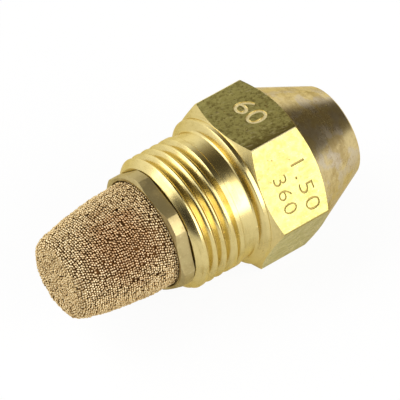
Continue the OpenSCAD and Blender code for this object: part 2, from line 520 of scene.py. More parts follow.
class NodeBench:
    """Adds and links the nodes of one material, world or modifier."""

    def __init__(self, tree: NodeTree) -> None:
        """Empties a node tree to start from."""
        self.tree = tree
        tree.nodes.clear()

    def node(self, kind: str, settings: Settings | None = None, inputs: Inputs | None = None) -> Node:
        """Adds one node.

        Args:
            kind: The node's type.
            settings: Its properties.
            inputs: Values, sockets or signals by input name or number.

        Returns:
            The new node.
        """
        made = self.tree.nodes.new(kind)
        for key, value in (settings or {}).items():
            setattr(made, key, value)
        for key, value in (inputs or {}).items():
            source = value.socket if isinstance(value, Signal) else value
            if isinstance(source, NodeSocket):
                self.tree.links.new(source, made.inputs[key])
            else:
                made.inputs[key].default_value = source
        return made

    def number(
        self,
        kind: str,
        settings: Settings | None = None,
        inputs: Inputs | None = None,
        output: int | str = 0,
    ) -> Signal:
        """Adds one node and gives one of its outputs, by name or number, as a number."""
        return Signal(self, self.node(kind, settings, inputs).outputs[output])

    def mix(self, share: Level, first: Paint, second: Paint) -> NodeSocket:
        """Mixes two colours by the share of the second."""
        settings = {"data_type": "RGBA", "blend_type": "MIX", "clamp_factor": True}
        return self.node("ShaderNodeMix", settings, {0: share, 6: first, 7: second}).outputs[2]

    def place(self, scale: float) -> NodeSocket:
        """Gives the piece's own coordinates, scaled. A thousand turns metres into millimetres."""
        own = self.node("ShaderNodeTexCoord").outputs["Object"]
        return self.node("ShaderNodeMapping", {}, {"Vector": own, "Scale": (scale,) * 3}).outputs["Vector"]

    def noise(self, where: NodeSocket, scale: float, detail: float = 3.0, rough: float = 0.5) -> Signal:
        """Adds a noise pattern between 0 and 1. Detail counts its finer layers and rough weighs them."""
        inputs = {"Vector": where, "Scale": scale, "Detail": detail, "Roughness": rough}
        return self.number("ShaderNodeTexNoise", {}, inputs, "Fac")

    def spots(self, where: NodeSocket, scale: float, centre: float, rim: float) -> Signal:
        """Adds round spots, which are 1 up to centre from scattered points and 0 beyond rim."""
        inputs = {"Vector": where, "Scale": scale, "Randomness": 1.0}
        return 1 - self.number("ShaderNodeTexVoronoi", {}, inputs, "Distance").ramp(centre, rim)

    def axes(self, where: NodeSocket) -> tuple[Signal, Signal, Signal]:
        """Splits coordinates into three numbers."""
        made = self.node("ShaderNodeSeparateXYZ", {}, {"Vector": where})
        return tuple(Signal(self, output) for output in made.outputs)

    def point(self, x: Level, y: Level = 0.0, z: Level = 0.0) -> NodeSocket:
        """Joins three numbers into coordinates."""
        return self.node("ShaderNodeCombineXYZ", {}, {0: x, 1: y, 2: z}).outputs[0]

    def kept_value(self, name: str) -> Signal:
        """Gives the number that the piece's points keep under a name."""
        return self.number("ShaderNodeAttribute", {"attribute_name": name}, {}, "Fac")

    def bump(self, height: Signal, distance: float) -> NodeSocket:
        """Turns a height into a normal. Distance is the real height of a step from 0 to 1, in metres."""
        inputs = {"Strength": 1.0, "Distance": distance, "Height": height}
        return self.node("ShaderNodeBump", {}, inputs).outputs["Normal"]

    def random(self, draw: Draw, seed: int, inputs: Inputs) -> NodeSocket:
        """Draws a value for each point of a mesh.

        Args:
            draw: What is drawn.
            seed: Seed of the draw.
            inputs: Its limits or its probability, by input name or number.

        Returns:
            The value.
        """
        kind, output = draw.value
        made = self.node("FunctionNodeRandomValue", {"data_type": kind}, {**inputs, "Seed": seed})
        return made.outputs[output]


def new_bench(name: str) -> tuple[Material, NodeBench]:
    """Makes an empty material.

    Args:
        name: Its name.

    Returns:
        The material and the bench that adds to its nodes.
    """
    material = bpy.data.materials.new(name)
    material.use_nodes = True
    return material, NodeBench(material.node_tree)


def mixed(first: Colour, second: Colour, share: float) -> Colour:
    """Works out a colour between two."""
    return tuple(a + (b - a) * share for a, b in zip(first, second))


# Finishes


@dataclass(frozen=True)
class Finish:
    """Bare metal, which reads a pattern at the piece's own coordinates in millimetres.

    Attributes:
        name: The material's name.
        edge_tint: Tint of the metal where it is seen at a flat angle.
    """

    name: str
    edge_tint: ClassVar[Colour] = (0.86, 0.74, 0.42, 1.0)

    def paint(self, bench: NodeBench, where: NodeSocket) -> Surface:
        """Gives the metal's colour, its roughness and, if it has a grain, its normal."""
        raise NotImplementedError

    def build(self) -> Material:
        """Makes the material.

        Returns:
            The material.
        """
        material, bench = new_bench(self.name)
        colour, rough, normal = self.paint(bench, bench.place(1 / MM))
        inputs = {
            "Base Color": colour,
            "Metallic": 1.0,
            "Roughness": rough,
            "Specular Tint": self.edge_tint,
        }
        if normal is not None:
            inputs["Normal"] = normal
        shader = bench.node("ShaderNodeBsdfPrincipled", {}, inputs)
        bench.node("ShaderNodeOutputMaterial", {}, {"Surface": shader.outputs[0]})
        return material


@dataclass(frozen=True)
class TurnedBrass(Finish):
    """Brass off the lathe: fine rings about the axis, soft stains and a few bright nicks.

    Attributes:
        tint: Colour of the clean metal.
        stain: Colour of the stained metal.
        stained: How much of it is stained.
        hazed: How much of it has a grey haze and fine rust.
        roughness: Its mean roughness.
        ring_height: Height of the tool marks in metres.
    """

    tint: Colour = (0.69, 0.57, 0.25, 1.0)
    stain: Colour = (0.50, 0.39, 0.135, 1.0)
    stained: float = 0.5
    hazed: float = 0.0
    roughness: float = 0.23
    ring_height: float = 0.9e-6

    def paint(self, bench: NodeBench, where: NodeSocket) -> Surface:
        """Paints rings, stains, haze, rust, pits and nicks.

        Args:
            bench: The bench that adds to the material's nodes.
            where: The piece's coordinates in millimetres.

        Returns:
            The colour, the roughness and the normal.
        """
        x, y, z = bench.axes(where)
        radius = (y * y + z * z) ** 0.5
        across = x + radius * 0.8
        rings = bench.noise(bench.point(across), 7.0, 4.0, 0.65)
        coarse = bench.noise(bench.point(across, radius * 0.2), 1.6, 2.0)
        patches = bench.noise(where, 0.42, 5.0, 0.62)
        streaks = bench.noise(bench.point(across * 3.2, y * 0.35, z * 0.35), 0.9, 3.0, 0.6)
        dirt = (patches * 0.7 + streaks * 0.3).ramp(0.45, 0.62) * self.stained
        haze = bench.noise(where, 0.55).ramp(0.46, 0.60) * self.hazed
        rust = bench.noise(where, 2.6, 5.0, 0.75).ramp(0.50, 0.66) * self.hazed
        specks = bench.spots(where, 1.1, 0.05, 0.13) * bench.noise(where, 0.5, 1.0).ramp(0.56, 0.62)
        nicks = bench.spots(where, 0.8, 0.04, 0.10) * bench.noise(where, 0.37, 1.0).ramp(0.54, 0.6)
        tone = bench.mix(dirt, self.tint, self.stain)
        tone = bench.mix(haze * 0.6, tone, (0.56, 0.50, 0.42, 1.0))
        tone = bench.mix(rust * 0.45, tone, (0.36, 0.23, 0.075, 1.0))
        tone = bench.mix(specks * 0.55, tone, (0.30, 0.19, 0.05, 1.0))
        tone = bench.mix(nicks * 0.9, tone, (0.98, 0.82, 0.36, 1.0))
        light = mixed(self.tint, (0.92, 0.84, 0.60, 1.0), 0.35)
        tone = bench.mix((rings - 0.5) * 0.5 + (coarse - 0.5) * 0.35, tone, light)
        rough = (rings - 0.5) * 0.12 + dirt * 0.12 + specks * 0.2 + self.roughness
        height = rings * 0.7 + coarse * 0.8 - specks * 1.5 - nicks * 4.0
        return tone, rough, bench.bump(height, self.ring_height)


@dataclass(frozen=True)
class DrawnBrass(Finish):
    """Brass bar as it was drawn: lines and scratches along the axis, mottled, with brown specks, and painted
    shade on the flat that faces up.

    Attributes:
        tint: Colour of the clean metal.
        stain: Colour of the mottling, and of the painted shade on the flat that faces up.
        corner: Dark colour of the specks and of the darkening along the edges of the flat that lay upwards.
        top: Heights between which the metal begins to belong to that flat, which is given painted shade.
        corner_reach: Distances from the axis between which the darkening of its edges sets in.
        roughness: Its mean roughness.
        line_height: Height of the lines in metres.
    """

    tint: Colour = (0.49, 0.435, 0.15, 1.0)
    stain: Colour = (0.29, 0.25, 0.07, 1.0)
    corner: Colour = (0.13, 0.095, 0.02, 1.0)
    top: Point = (7.85, 7.92)
    corner_reach: Point = (8.45, 8.95)
    roughness: float = 0.27
    line_height: float = 24e-6
    edge_tint: ClassVar[Colour] = (1.0, 0.95, 0.75, 1.0)

    def paint(self, bench: NodeBench, where: NodeSocket) -> Surface:
        """Paints lines, mottling, painted shade on the upper flat, the darker edges of that flat, specks and
        scratches.

        Args:
            bench: The bench that adds to the material's nodes.
            where: The piece's coordinates in millimetres.

        Returns:
            The colour, the roughness and the normal.
        """
        x, y, z = bench.axes(where)
        lines = bench.noise(bench.point(x * 0.5, y * 6.0, z * 6.0), 1.3, 4.0, 0.7)
        scratches = bench.noise(bench.point(x * 1.3 + y * 0.6, y * 9.0 + x * 2.0, z * 9.0), 0.8, 2.0, 0.6)
        mottle = bench.noise(where, 1.5, 6.0, 0.68)
        cloud = bench.noise(where, 0.45)
        specks = bench.spots(where, 1.4, 0.05, 0.16) * bench.noise(where, 0.45, 2.0).ramp(0.48, 0.56)
        speckle = bench.noise(where, 2.6, 4.0, 0.7).ramp(0.46, 0.62)
        dirt = (mottle * 0.75 + cloud * 0.25).ramp(0.42, 0.62)
        upward = z.ramp(*self.top)
        rim = ((y * y + z * z) ** 0.5 + (mottle - 0.5) * 1.8).ramp(*self.corner_reach) * upward
        tone = bench.mix(dirt * 0.4, self.tint, self.stain)
        # Painted shade: the flat that faces up is darkened towards the mottling's colour.
        tone = bench.mix(upward * 0.5, tone, self.stain)
        # Specks, far denser on the flat that faces up, where they also add to its painted shade.
        tone = bench.mix(speckle * (upward * 0.6 + 0.08), tone, self.corner)
        # Darker along the edges of the flat that faces up, on its -Y side.
        tone = bench.mix(rim * (y * -1).ramp(1.0, 3.0) * 0.85, tone, self.corner)
        tone = bench.mix(specks * 0.7, tone, (0.26, 0.15, 0.04, 1.0))
        tone = bench.mix(scratches.ramp(0.62, 0.70) * 0.35, tone, (0.80, 0.70, 0.42, 1.0))
        rough = dirt * 0.14 + (lines - 0.5) * 0.12 + specks * 0.15 + self.roughness
        height = lines * 0.2 + mottle * 1.1 - specks * 0.5 - scratches.ramp(0.60, 0.70) * 0.2
        return tone, rough, bench.bump(height, self.line_height)


@dataclass(frozen=True)
class GrainyBrass(Finish):
    """Dull brass with a fine grain, as on the filter holder.

    Attributes:
        tint: Colour of the clean metal.
        stain: Colour of the dull patches.
        roughness: Its mean roughness.
        grain_height: Height of the grain in metres.
    """

    tint: Colour = (0.46, 0.375, 0.18, 1.0)
    stain: Colour = (0.34, 0.26, 0.11, 1.0)
    roughness: float = 0.44
    grain_height: float = 9.0e-6

    def paint(self, bench: NodeBench, where: NodeSocket) -> Surface:
        """Paints the grain and the dull patches.

        Args:
            bench: The bench that adds to the material's nodes.
            where: The piece's coordinates in millimetres.

        Returns:
            The colour, the roughness and the normal.
        """
        grain = bench.noise(where, 6.0, 3.0, 0.7)
        patches = bench.noise(where, 0.8, 4.0, 0.55)
        dirt = patches.ramp(0.44, 0.66)
        tone = bench.mix(dirt * 0.5, self.tint, self.stain)
        tone = bench.mix(grain.ramp(0.55, 0.72) * 0.35, tone, (0.80, 0.70, 0.44, 1.0))
        rough = dirt * 0.1 + (grain - 0.5) * 0.15 + self.roughness
        return tone, rough, bench.bump(grain * 0.8 + patches * 0.5, self.grain_height)


@dataclass(frozen=True)
class StruckBrass(Finish):
    """The rough bottom of a struck figure.

    Attributes:
        tint: Colour of the metal.
        roughness: Its mean roughness.
        grain_height: Height of the grain in metres.
    """

    tint: Colour
    roughness: float = 0.55
    grain_height: float = 6e-6

    def paint(self, bench: NodeBench, where: NodeSocket) -> Surface:
        """Paints the grain.

        Args:
            bench: The bench that adds to the material's nodes.
            where: The piece's coordinates in millimetres.

        Returns:
            The colour, the roughness and the normal.
        """
        grain = bench.noise(where, 8.0)
        dark = mixed(self.tint, (0.05, 0.03, 0.01, 1.0), 0.5)
        tone = bench.mix(grain.ramp(0.4, 0.65) * 0.4, self.tint, dark)
        return tone, grain * 0.15 + self.roughness, bench.bump(grain, self.grain_height)


@dataclass(frozen=True)
class GroundSteel(Finish):
    """Stainless steel, ground in rings about the axis.

    Attributes:
        tint: Colour of the metal.
        roughness: Its mean roughness.
        ring_height: Height of the rings in metres.
    """

    tint: Colour = (0.62, 0.62, 0.60, 1.0)
    roughness: float = 0.26
    ring_height: float = 0.8e-6
    edge_tint: ClassVar[Colour] = WHITE

    def paint(self, bench: NodeBench, where: NodeSocket) -> Surface:
        """Paints the rings and faint patches.

        Args:
            bench: The bench that adds to the material's nodes.
            where: The piece's coordinates in millimetres.

        Returns:
            The colour, the roughness and the normal.
        """
        x, y, z = bench.axes(where)
        rings = bench.noise(bench.point((y * y + z * z) ** 0.5 + x * 0.7), 14.0, 4.0, 0.7)
        patches = bench.noise(where, 0.9)
        tone = bench.mix(patches.ramp(0.4, 0.7) * 0.35, self.tint, (0.46, 0.44, 0.40, 1.0))
        rough = (rings - 0.5) * 0.18 + patches * 0.08 + self.roughness
        return tone, rough, bench.bump(rings, self.ring_height)


@dataclass(frozen=True)
class SinteredBronze(Finish):
    """Bonded bronze beads: each bead's own tone, a painted highlight on its crown, painted shade at its foot
    and in the pores, and painted shade in the middle of the filter's side.

    Attributes:
        tint: Colour of a bead's side.
        shaded_middle: Colour of the painted shade on the beads' sides around the middle of the filter's
            side.
        crown: Colour of the painted highlight on a bead's crown.
        shade: Colour of the side of the darkest beads.
        foot: Colour of the painted shade at a bead's foot and in the pores, which also colours the core.
        shaded_middle_at: Middle of the painted shade on the beads' sides, in millimetres.
        shaded_middle_reach: How far from there the painted shade goes, in millimetres.
        roughness: Its mean roughness.
    """

    tint: Colour = (0.52, 0.36, 0.155, 1.0)
    shaded_middle: Colour = (0.40, 0.19, 0.052, 1.0)
    crown: Colour = (1.0, 0.86, 0.58, 1.0)
    shade: Colour = (0.22, 0.11, 0.035, 1.0)
    foot: Colour = (0.105, 0.046, 0.014, 1.0)
    shaded_middle_at: Place = (-9.2, -3.4, 3.7)
    shaded_middle_reach: float = 5.5
    roughness: float = 0.3

    def paint(self, bench: NodeBench, where: NodeSocket) -> Surface:
        """Paints each bead from its tone and from the rise of its points, with no grain, and paints a
        highlight on its crown and shade at its foot and in the middle of the filter's side.

        Args:
            bench: The bench that adds to the material's nodes.
            where: The piece's coordinates in millimetres.

        Returns:
            The colour, the roughness and the normal.
        """
        tone, rise = (bench.kept_value(name) for name in ("tone", "rise"))
        # Painted shade: the beads' sides turn darker and warmer around one point in the middle of the
        # filter's side, with a ragged edge.
        ends = {0: where, 1: self.shaded_middle_at}
        away = bench.number("ShaderNodeVectorMath", {"operation": "DISTANCE"}, ends, "Value")
        patches = bench.noise(where, 0.6)
        painted_middle_shade = (1 - away / self.shaded_middle_reach + (patches - 0.5) * 0.9).ramp(0.0, 0.7)
        side = bench.mix(painted_middle_shade, self.tint, self.shaded_middle)
        side = bench.mix((1 - tone).ramp(0.5, 1.0) * 0.6, side, self.shade)
        # Painted highlight on each bead's crown, smaller inside the painted shade of the middle.
        crown_highlight = rise.ramp(0.58, 0.97) * (tone * 0.7 + 0.3) * (1 - painted_middle_shade * 0.35)
        colour = bench.mix(crown_highlight, side, self.crown)
        # Painted shade at each bead's foot; the core, which keeps no rise, takes nearly this colour all
        # over.
        colour = bench.mix(1 - rise.ramp(-0.05, 0.45), colour, self.foot)
        return colour, tone * 0.12 + (1 - rise) * 0.3 + self.roughness, None


# Pieces of the nozzle


@dataclass
class NozzleBody:
    """The brass body: thread, neck, seat, collar, hexagon and nose in one piece.

    Attributes:
        thread: The mounting thread.
        bore_thread: The thread in the bore.
        stamps: The figures on the hexagon.
        flats: Angles of the flats' normals from straight up, in degrees.
        unstamped: Length at each end of the hexagon that no figure reaches.
        flush: How far below a flat a face still belongs to it.
        sunk: How far below a flat a face may lie and still belong to a figure.
        slanted: Smallest and largest lean along the axis of a face of the chamfers, as a normal's share.
    """

    rear: float = -3.045
    rear_radius: float = 6.45
    thread_start: float = -2.375
    thread_end: float = 2.375
    crest_radius: float = 7.144
    neck_radius: float = 6.9
    neck_fillet: float = 0.3
    seat: float = 4.155
    collar: float = 4.565
    collar_radius: float = 7.92
    collar_edge: float = 0.09
    hex_rear: float = 5.015
    hex_front: float = 11.795
    across_flats: float = 15.875
    hex_edge: float = 0.14
    chamfer: float = 30.0
    nose: float = 18.395
    nose_radius: float = 4.9
    nose_edge: float = 0.4
    bore_radius: float = 4.5
    mouth_edge: float = 0.4
    chamber_rear: float = 11.195
    chamber_radius: float = 3.8
    ledge: float = 17.055
    tip_radius: float = 2.5
    tip_edge: float = 0.8
    flats: Sequence[float] = (0.0, 60.0, 120.0, 180.0, 240.0, 300.0)
    unstamped: float = 0.9
    flush: float = 0.005
    sunk: float = 0.2
    slanted: Point = (0.2, 0.95)
    thread: ScrewThread = ScrewThread(
        1.058, 7.144, 0.649, 0.26, -2.842, 1.95, run_out=0.6, run_in=0.75, edge=0.11, over=0.6
    )
    bore_thread: ScrewThread = ScrewThread(
        0.75, 4.5, 0.4, 0.1, -3.9, 10.3, run_out=0.5, side=ThreadSide.INSIDE, steps=64
    )
    stamps: Sequence[Stamp] = (
        Stamp("1.50", 60.0, 9.72, 0.85, 1.75, spacing=1.16, wide=1.25, heavy=-0.02),
        Stamp("360", 60.0, 7.28, 0.95, 1.6, spacing=1.16, wide=1.15, heavy=-0.02),
        Stamp("60", 0.0, 8.95, -0.1, 2.3, spacing=1.0, wide=1.25, heavy=0.02),
    )

    def rear_outline(self) -> list[Point]:
        """Gives the outside from the rear face to the collar.

        Returns:
            Points (place along the axis, radius).
        """
        fillet, ease = self.neck_fillet, self.collar_edge
        shoulder = self.crest_radius - self.neck_radius
        rise = self.collar_radius - self.neck_radius - fillet
        seat_slope = math.degrees(math.atan2(self.collar - self.seat, rise))
        edge_x, edge_r = self.collar + 0.4 * ease, self.collar_radius - ease
        return [
            (self.rear, self.rear_radius - 0.08),
            (self.rear + 0.06, self.rear_radius + 0.02),
            (self.thread_start - 0.1, self.crest_radius - 0.12),
            (self.thread_start + 0.06, self.crest_radius),
            (self.thread_end - 0.03, self.crest_radius),
            (self.thread_end + 0.02, self.neck_radius + 0.85 * shoulder),
            (self.thread_end + 0.06, self.neck_radius),
            *rounded(self.seat - fillet, self.neck_radius + fillet, fillet, -90, 0, 6),
            *rounded(edge_x, edge_r, ease, 180 - seat_slope, 90, 3),
        ]

    def front_outline(self) -> list[Point]:
        """Gives the outside from the hexagon to the edge of the nose.

        Returns:
            Points (place along the axis, radius).
        """
        corner = self.across_flats / math.sqrt(3)
        chamfer_length = (corner - self.collar_radius) * math.tan(math.radians(self.chamfer))
        slope = math.atan((self.collar_radius - self.nose_radius) / (self.nose - self.hex_front))
        edge_x = self.nose - self.nose_edge
        edge_r = self.nose_radius + self.nose_edge * (math.tan(slope) - 1 / math.cos(slope))
        return [
            (self.hex_rear - 0.05, self.collar_radius),
            (self.hex_rear, self.collar_radius - 0.03),
            (self.hex_rear + 0.04, self.collar_radius + 0.02),
            (self.hex_rear + chamfer_length, corner),
            (self.hex_front - chamfer_length, corner),
            (self.hex_front, self.collar_radius),
            *rounded(edge_x, edge_r, self.nose_edge, 90 - math.degrees(slope), 0, 6),
        ]

    def bore_outline(self) -> list[Point]:
        """Gives the inside from the nose's face back to the rear face.

        Returns:
            Points (place along the axis, radius).
        """
        tip_rim, mouth_rim = self.tip_radius + self.tip_edge, self.bore_radius + self.mouth_edge
        return [
            (self.nose, tip_rim + 0.05),
            (self.nose - 0.05, tip_rim - 0.03),
            (self.nose - self.tip_edge + 0.02, self.tip_radius + 0.02),
            (self.nose - self.tip_edge - 0.03, self.tip_radius),
            (self.ledge, self.tip_radius),
            (self.ledge, self.chamber_radius),
            (self.chamber_rear, self.chamber_radius),
            (self.chamber_rear, self.bore_radius),
            (self.rear + self.mouth_edge, self.bore_radius),
            (self.rear + 0.03, mouth_rim),
            (self.rear, mouth_rim + 0.06),
        ]

    def build(self) -> Object:
        """Turns, mills, threads and stamps the body and dresses it.

        Returns:
            The finished piece.
        """
        outline = self.rear_outline() + self.front_outline() + self.bore_outline()
        piece = lathe("brass_body", outline)
        bar = hexagonal_bar(self.across_flats, (self.rear - 5, self.nose + 5), self.hex_edge)
        combine(piece, bar, Operation.KEEP_INSIDE)
        for stamp in self.stamps:
            combine(piece, stamp.cutter(self.across_flats / 2), Operation.CUT)
        for thread in (self.thread, self.bore_thread):
            combine(piece, thread.cutter(), Operation.CUT)
        self.dress(piece)
        finish_mesh(piece)
        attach(piece, Body.NOZZLE.value)
        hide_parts("nozzle_body")
        return piece

    def on_hexagon(self, face: MeshPolygon) -> bool:
        """Says whether a face belongs to the hexagon's flats, its long edges or its figures.

        Args:
            face: The face.

        Returns:
            Whether it does. The chamfers at the hexagon's ends don't.
        """
        middle, (least, most) = face.center, self.slanted
        on_bar = self.hex_rear < middle.x < self.hex_front
        outside = math.hypot(middle.y, middle.z) > self.across_flats / 2 - self.sunk
        return on_bar and outside and not least < abs(face.normal.x) < most

    def is_struck(self, face: MeshPolygon) -> bool:
        """Says whether a face is a wall or the bottom of a struck figure.

        Args:
            face: The face.

        Returns:
            Whether it is.
        """
        middle = face.center
        angles = [math.radians(angle) for angle in self.flats]
        height = max(middle.z * math.cos(a) - middle.y * math.sin(a) for a in angles)
        below = height <= self.across_flats / 2 - self.flush
        at_figure = self.hex_rear + self.unstamped < middle.x < self.hex_front - self.unstamped
        return self.on_hexagon(face) and at_figure and below

    def is_struck_on_top(self, face: MeshPolygon) -> bool:
        """Says whether a face belongs to a figure on the flat that faces up."""
        return self.is_struck(face) and face.center.z > self.across_flats / 2 - self.sunk

    def is_nose(self, face: MeshPolygon) -> bool:
        """Says whether a face lies in front of the hexagon."""
        return face.center.x > self.hex_front - 0.01

    def dress(self, piece: Object) -> None:
        """Gives the turned surfaces, the flats, the nose and the figures their own finishes; the figures get
        a shaded copy of their finish as painted shade, and on the flat that faces up a lit copy as painted
        light.

        Args:
            piece: The body, in millimetres.
        """
        nose_tint, nose_stain = (0.63, 0.51, 0.26, 1.0), (0.36, 0.26, 0.11, 1.0)
        finishes = {
            TurnedBrass("body_turned_brass"): lambda face: True,
            DrawnBrass("body_drawn_brass"): self.on_hexagon,
            TurnedBrass("nose_turned_brass", nose_tint, nose_stain, stained=0.7, hazed=1.0): self.is_nose,
            # Figures: a painted shaded copy of the struck finish, and a painted lit copy for the figures on
            # the flat that faces up.
            StruckBrass("struck_shaded_brass", (0.42, 0.32, 0.11, 1.0)): self.is_struck,
            StruckBrass("struck_lit_brass", (0.88, 0.78, 0.45, 1.0)): self.is_struck_on_top,
        }
        piece.data.materials.clear()
        for place, (finish, wanted) in enumerate(finishes.items()):
            piece.data.materials.append(finish.build())
            select_where(piece, Select.FACES, wanted)
            piece.active_material_index = place
            bpy.ops.object.material_slot_assign()
            bpy.ops.object.mode_set(mode="OBJECT")


@dataclass
class FilterHolder:
    """The brass plug that carries the filter: a low hexagon, a washer face and a hollow threaded shank.

    Attributes:
        turn: Turn of its hexagon about the axis, in degrees.
        thread: The thread on its shank.
    """

    rear: float = -4.605
    face: float = -3.045
    across_flats: float = 12.1
    corner_radius: float = 6.5
    rim_radius: float = 6.14
    edge: float = 0.25
    turn: float = 19.0
    chamfer: float = 30.0
    washer_radius: float = 5.6
    washer_length: float = 0.12
    recess_radius: float = 5.77
    recess_depth: float = 0.6
    relief_radius: float = 4.05
    relief_length: float = 0.7
    shank_radius: float = 4.45
    shank_end: float = 2.355
    shank_edge: float = 0.5
    hole_radius: float = 2.7
    thread: ScrewThread = ScrewThread(0.75, 4.45, 0.4, 0.1, -2.75, 3.1, run_out=0.05)

    def outline(self) -> list[Point]:
        """Gives the turned outline from the rear face over the outside and back through the hole.

        Returns:
            Points (place along the axis, radius).
        """
        chamfer_length = (self.corner_radius - self.rim_radius) * math.tan(math.radians(self.chamfer))
        washer = self.face - self.washer_length
        recess = self.rear + self.recess_depth
        return [
            (self.rear, self.recess_radius + 0.05),
            (self.rear, self.rim_radius - 0.05),
            (self.rear + 0.04, self.rim_radius + 0.02),
            (self.rear + chamfer_length, self.corner_radius),
            (washer - 0.08, self.corner_radius),
            (washer, self.corner_radius - 0.08),
            (washer, self.washer_radius),
            (self.face, self.washer_radius),
            (self.face, self.relief_radius),
            (self.face + self.relief_length - 0.4, self.relief_radius),
            (self.face + self.relief_length, self.shank_radius),
            (self.shank_end - self.shank_edge, self.shank_radius),
            (self.shank_end, self.shank_radius - self.shank_edge),
            (self.shank_end, self.hole_radius),
            (recess, self.hole_radius),
            (recess, self.recess_radius),
            (self.rear + 0.05, self.recess_radius),
        ]

    def build(self) -> Object:
        """Turns, mills and threads the holder and dresses it.

        Returns:
            The finished piece.
        """
        piece = lathe("filter_plug", self.outline())
        span = (self.rear - 2, self.shank_end + 2)
        bar = hexagonal_bar(self.across_flats, span, self.edge, self.turn)
        combine(piece, bar, Operation.KEEP_INSIDE)
        combine(piece, self.thread.cutter(), Operation.CUT)
        dress_in(piece, GrainyBrass("plug_grainy_brass").build())
        finish_mesh(piece)
        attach(piece, Body.HOLDER.value)
        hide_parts("filter_holder")
        return piece


